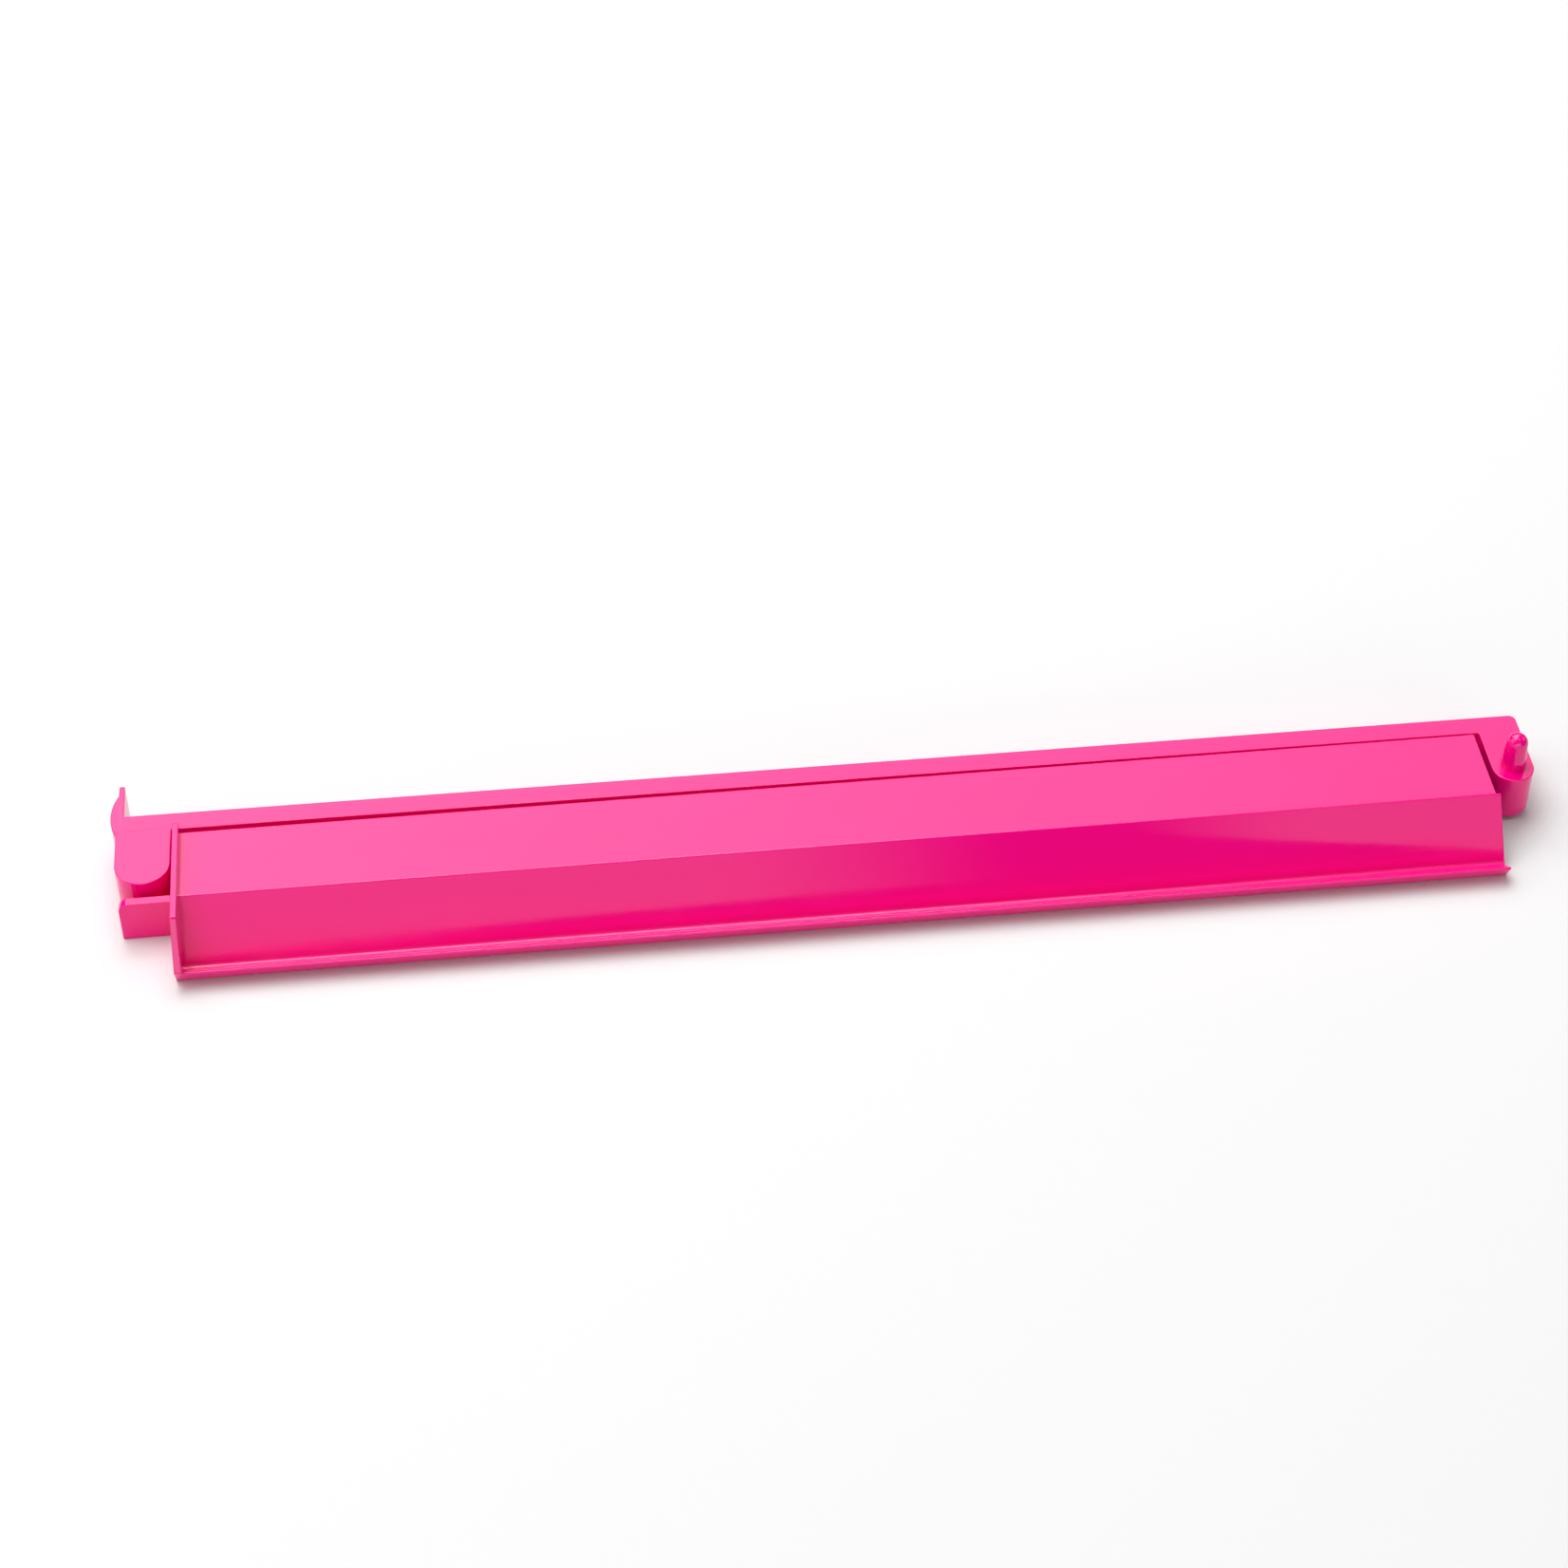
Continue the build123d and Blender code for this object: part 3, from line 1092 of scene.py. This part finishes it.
class MouldRipple(Effect):
    """Shader group: the shallow sink and ripple that a cooled moulding keeps in its flat faces."""

    name = "mould_ripple"
    inputs = {"Ripple": Kind.NUMBER, "Sink": Kind.NUMBER, "Grain": Kind.NUMBER}
    output = ("Height", Kind.NUMBER)
    ripple_waves = (14, 60, 60)
    sink_waves = (7, 90, 90)
    grain_waves = 2600.0

    def build(self, given: Sockets) -> Socket:
        """Adds up the three reliefs, each times its own amount.

        Args:
            given: The group's inputs.

        Returns:
            What the group puts out.
        """
        place, maths = given["Coordinates"], self.wire.maths
        ripple = self.noise(self.drawn_out(place, self.ripple_waves), 1.0, detail=1.0)
        sink = self.noise(self.drawn_out(place, self.sink_waves), 1.0, detail=0.0)
        grain = self.noise(place, self.grain_waves, detail=2.0)
        total = maths("MULTIPLY", ripple, given["Ripple"])
        total = maths("ADD", total, maths("MULTIPLY", sink, given["Sink"]))
        return maths("ADD", total, maths("MULTIPLY", grain, given["Grain"]))


class FlowShade(Effect):
    """Shader group: colour that is a little deeper or paler where the plastic flowed."""

    name = "flow_shade"
    inputs = {"Pink": Kind.COLOUR, "Deep Pink": Kind.COLOUR, "Streaks": Kind.NUMBER}
    output = ("Colour", Kind.COLOUR)
    streak_waves = (9, 120, 120)
    streak_twist = 0.4
    cloud_waves = 45.0
    limits = (0.12, 0.42)         # noise that gives none and all of the deeper colour

    def build(self, given: Sockets) -> Socket:
        """Mixes the two colours by long streaks that come and go in clouds.

        Args:
            given: The group's inputs.

        Returns:
            What the group puts out.
        """
        place, maths = given["Coordinates"], self.wire.maths
        along = self.drawn_out(place, self.streak_waves)
        streak = self.noise(along, 1.0, detail=4.0, twist=self.streak_twist)
        cloud = self.noise(place, self.cloud_waves, detail=2.0)
        share = self.share(maths("MULTIPLY", streak, cloud), self.limits)
        deeper = maths("MULTIPLY", share, given["Streaks"])
        colours = {0: deeper, 6: given["Pink"], 7: given["Deep Pink"]}
        return self.wire.add("ShaderNodeMix", colours, data_type="RGBA").outputs[2]


class HandlingMarks(Effect):
    """Shader group: faint hairline rubs and finger smears in the gloss."""

    name = "handling_marks"
    inputs = {"Polish": Kind.NUMBER, "Smear": Kind.NUMBER, "Rubs": Kind.NUMBER}
    output = ("Roughness", Kind.NUMBER)
    smear_waves = 85.0
    smear_twist = 1.2
    smear_limits = (0.45, 0.75)   # noise at the edge and in the middle of a smear
    rub_waves = (60, 2400, 2400)
    rub_turn = 0.35               # radians between the rubs and the clip's length
    rub_limits = (0.66, 0.8)

    def build(self, given: Sockets) -> Socket:
        """Adds the smears and the rubs to the roughness of the clean gloss.

        Args:
            given: The group's inputs.

        Returns:
            What the group puts out.
        """
        place, maths = given["Coordinates"], self.wire.maths
        smear = self.noise(place, self.smear_waves, detail=5.0, twist=self.smear_twist)
        rub = self.noise(self.drawn_out(place, self.rub_waves, self.rub_turn), 1.0, detail=1.0)
        smeared = maths("MULTIPLY_ADD", self.share(smear, self.smear_limits), given["Smear"], given["Polish"])
        return maths("MULTIPLY_ADD", self.share(rub, self.rub_limits), given["Rubs"], smeared)


@dataclass(frozen=True)
class GlossPlastic:
    """Glossy moulded plastic, dyed through."""

    name: str
    pink: tuple[float, float, float, float] = (0.90, 0.0, 0.222, 1.0)
    deep_pink: tuple[float, float, float, float] = (0.84, 0.0, 0.185, 1.0)
    streaks: float = 0.3          # share of the deeper colour in the streaks
    polish: float = 0.02          # roughness of the clean gloss
    smear: float = 0.02           # how much duller the smears are
    rubs: float = 0.03            # and the hairline rubs
    ripple: float = 0.006         # millimetres, as are the next two
    sink: float = 0.03
    grain: float = 0.0004
    ior: float = 1.5

    def make(self, ripple: MouldRipple, shade: FlowShade, marks: HandlingMarks) -> bpy.types.Material:
        """Builds the material.

        Args:
            ripple: The shared group for the surface's relief.
            shade: The shared group for the colour.
            marks: The shared group for the roughness.

        Returns:
            The material.
        """
        material = bpy.data.materials.new(self.name)
        wire = Wiring.afresh(material)
        place = wire.add("ShaderNodeTexCoord").outputs["Object"]

        def effect(shared: Effect, amounts: dict[str, Fed]) -> Socket:
            """Places a shared group with this finish's own amounts."""
            return wire.result("ShaderNodeGroup", {"Coordinates": place, **amounts}, node_tree=shared.group)

        relief = effect(ripple, {"Ripple": self.ripple, "Sink": self.sink, "Grain": self.grain})
        colour = effect(shade, {"Pink": self.pink, "Deep Pink": self.deep_pink, "Streaks": self.streaks})
        gloss = effect(marks, {"Polish": self.polish, "Smear": self.smear, "Rubs": self.rubs})
        bump = wire.result("ShaderNodeBump", {"Height": relief, "Strength": 1.0, "Distance": MM})
        plastic = wire.result("ShaderNodeBsdfPrincipled", {
            "Base Color": colour,
            "Roughness": gloss,
            "IOR": self.ior,
            "Normal": bump,
        })
        wire.add("ShaderNodeOutputMaterial", {"Surface": plastic})
        return material


@dataclass(frozen=True)
class PaleSweep:
    """Matt pale surface that the clip lies on."""

    name: str = "pale_sweep"
    tone: float = 0.74
    roughness: float = 0.75
    sheen: float = 0.2            # specular level of the paper
    tooth_waves: float = 900.0    # to a metre
    tooth_depth: float = 0.1      # millimetres
    tooth_strength: float = 0.05
    tooth_shade: float = 0.99     # tone in the hollows, as a share of the tone

    def make(self) -> bpy.types.Material:
        """Builds the material, with a very faint paper tooth.

        Returns:
            The material.
        """
        material = bpy.data.materials.new(self.name)
        wire = Wiring.afresh(material)
        place = wire.add("ShaderNodeTexCoord").outputs["Object"]
        tooth = wire.result("ShaderNodeTexNoise", {"Vector": place, "Scale": self.tooth_waves, "Detail": 3.0})
        shade = wire.result("ShaderNodeMapRange", {
            "Value": tooth, "To Min": self.tone * self.tooth_shade, "To Max": self.tone,
        })
        bump = wire.result("ShaderNodeBump", {
            "Height": tooth, "Strength": self.tooth_strength, "Distance": MM * self.tooth_depth,
        })
        paper = wire.result("ShaderNodeBsdfPrincipled", {
            "Base Color": shade,
            "Roughness": self.roughness,
            "Specular IOR Level": self.sheen,
            "Normal": bump,
        })
        wire.add("ShaderNodeOutputMaterial", {"Surface": paper})
        return material


# Studio


@dataclass(frozen=True)
class SoftLight:
    """A rectangular soft light, which may be brighter at one side."""

    name: str
    place: tuple[float, float, float]   # metres
    size: tuple[float, float]           # metres
    glow: float                         # radiance of its face
    aim: tuple[float, float, float] = (0.1, 0.0, 0.0)
    sides: tuple[float, float] = (1.0, 1.0)   # share of the glow at its two ends
    fade: tuple[float, float] = (0.0, 1.0)    # where along it the glow changes
    roll: float = 0.0                   # degrees

    def make(self) -> None:
        """Hangs the light."""
        data = bpy.data.lights.new(self.name, "AREA")
        data.shape = "RECTANGLE"
        data.size, data.size_y = self.size
        data.energy = self.glow * math.pi * data.size * data.size_y
        wire = Wiring.afresh(data)
        across = wire.add("ShaderNodeNewGeometry").outputs["Parametric"]
        share = wire.result("ShaderNodeMapRange", {
            "Value": wire.result("ShaderNodeSeparateXYZ", {0: across}),
            "From Min": self.fade[0],
            "From Max": self.fade[1],
            "To Min": self.sides[0],
            "To Max": self.sides[1],
        }, interpolation_type="SMOOTHSTEP")
        wire.add("ShaderNodeOutputLight", {0: wire.result("ShaderNodeEmission", {"Strength": share})})
        light = new_object(self.name, data)
        turn = (Vector(self.aim) - Vector(self.place)).to_track_quat("-Z", "Y").to_matrix()
        light.rotation_euler = (turn @ Matrix.Rotation(math.radians(self.roll), 3, "Z")).to_euler()
        light.location = self.place
        light.visible_camera = False


@dataclass(frozen=True)
class Studio:
    """Floor, lights and camera."""

    azimuth: float = 6.515        # degrees the camera looks to the right of +Y
    elevation: float = 43.984     # degrees above the floor
    roll: float = 0.188           # degrees
    aim: tuple[float, float, float] = (99.3, 15.9, 0.0)  # millimetres
    distance: float = 533.0       # millimetres from the aim to the lens
    lens: float = 77.2            # millimetres
    sensor: float = 36.0          # width in millimetres
    reach: tuple[float, float] = (0.01, 20.0)  # nearest and farthest that the camera sees, in metres
    floor_size: float = 6.0       # metres
    sky: float = 0.93             # what the camera sees beyond the floor
    fill: float = 0.05            # what lights and is mirrored
    lights: tuple[SoftLight, ...] = (
        SoftLight("back_softbox", (0.1, 0.85, 0.9), (1.5, 0.7), 3.5, sides=(0.35, 1.0)),
        SoftLight("top_softbox", (-0.2, 0.42, 1.35), (1.5, 0.8), 4.6),
        SoftLight("overhead_softbox", (0.05, -0.2, 1.4), (1.3, 0.5), 1.3),
        SoftLight("left_softbox", (-1.25, 0.0, 0.85), (1.4, 1.1), 1.7),
        SoftLight("right_softbox", (1.5, 0.2, 0.8), (1.0, 0.8), 1.0),
        SoftLight(
            "front_card", (0.0, -1.213, 0.8885), (0.7, 0.3), 0.95,
            aim=(0.0, 0.0, 0.8885), sides=(1.0, 0.0), fade=(0.72, 1.0), roll=0.8,
        ),
        SoftLight(
            "side_card", (0.68, -1.213, 0.878), (0.5, 0.3), 0.95,
            aim=(0.68, 0.0, 0.878), sides=(0.0, 1.0), fade=(0.0, 0.25), roll=-12.0,
        ),
        SoftLight("low_front_box", (0.0, -1.3, 0.38), (2.0, 0.4), 2.5),
    )

    def make_floor(self) -> None:
        """Lays the floor."""
        half = self.floor_size / 2
        mesh = bpy.data.meshes.new("floor")
        corners = [(-half, -half, 0), (half, -half, 0), (half, half, 0), (-half, half, 0)]
        mesh.from_pydata(corners, [], [range(4)])
        mesh.materials.append(PaleSweep().make())
        new_object("floor", mesh)

    def make_camera(self) -> None:
        """Sets the camera."""
        turn, down, roll = (math.radians(v) for v in (self.azimuth, self.elevation, self.roll))
        level = Matrix.Rotation(-turn, 3, "Z") @ Matrix.Rotation(math.pi / 2 - down, 3, "X")
        stand = (level @ Matrix.Rotation(roll, 3, "Z")).to_4x4()
        stand.translation = Vector(self.aim) * MM + level.col[2] * self.distance * MM
        data = bpy.data.cameras.new("camera")
        data.lens = self.lens
        data.sensor_width = self.sensor
        data.clip_start, data.clip_end = self.reach
        camera = new_object("camera", data)
        camera.matrix_world = stand
        bpy.context.scene.camera = camera

    def make_sky(self) -> None:
        """Makes the plain pale surroundings."""
        world = bpy.data.worlds.new("surroundings")
        wire = Wiring.afresh(world)
        seen, lit = (
            wire.result("ShaderNodeBackground", {"Color": (1, 1, 1, 1), "Strength": strength})
            for strength in (self.sky, self.fill)
        )
        direct = wire.add("ShaderNodeLightPath").outputs["Is Camera Ray"]
        mix = wire.result("ShaderNodeMixShader", {0: direct, 1: lit, 2: seen})
        wire.add("ShaderNodeOutputWorld", {"Surface": mix})
        bpy.context.scene.world = world

    def make(self) -> None:
        """Builds the whole studio."""
        self.make_camera()
        self.make_floor()
        self.make_sky()
        for light in self.lights:
            light.make()
        bpy.context.scene.view_settings.view_transform = "Standard"
        log.info("studio: %d soft lights", len(self.lights))


def main() -> None:
    """Builds the studio and the clip."""
    logging.basicConfig(level=logging.INFO, format="%(name)s: %(message)s")
    Studio().make()
    groups = MouldRipple(), FlowShade(), HandlingMarks()
    tree = SweepTree()
    base = ChannelBase(tree, GlossPlastic("pink_gloss_base").make(*groups))
    arm = ClampArm(tree, GlossPlastic("pink_gloss_arm").make(*groups), base=base)
    base.make()
    arm.make()


if __name__ == "__main__":
    main()
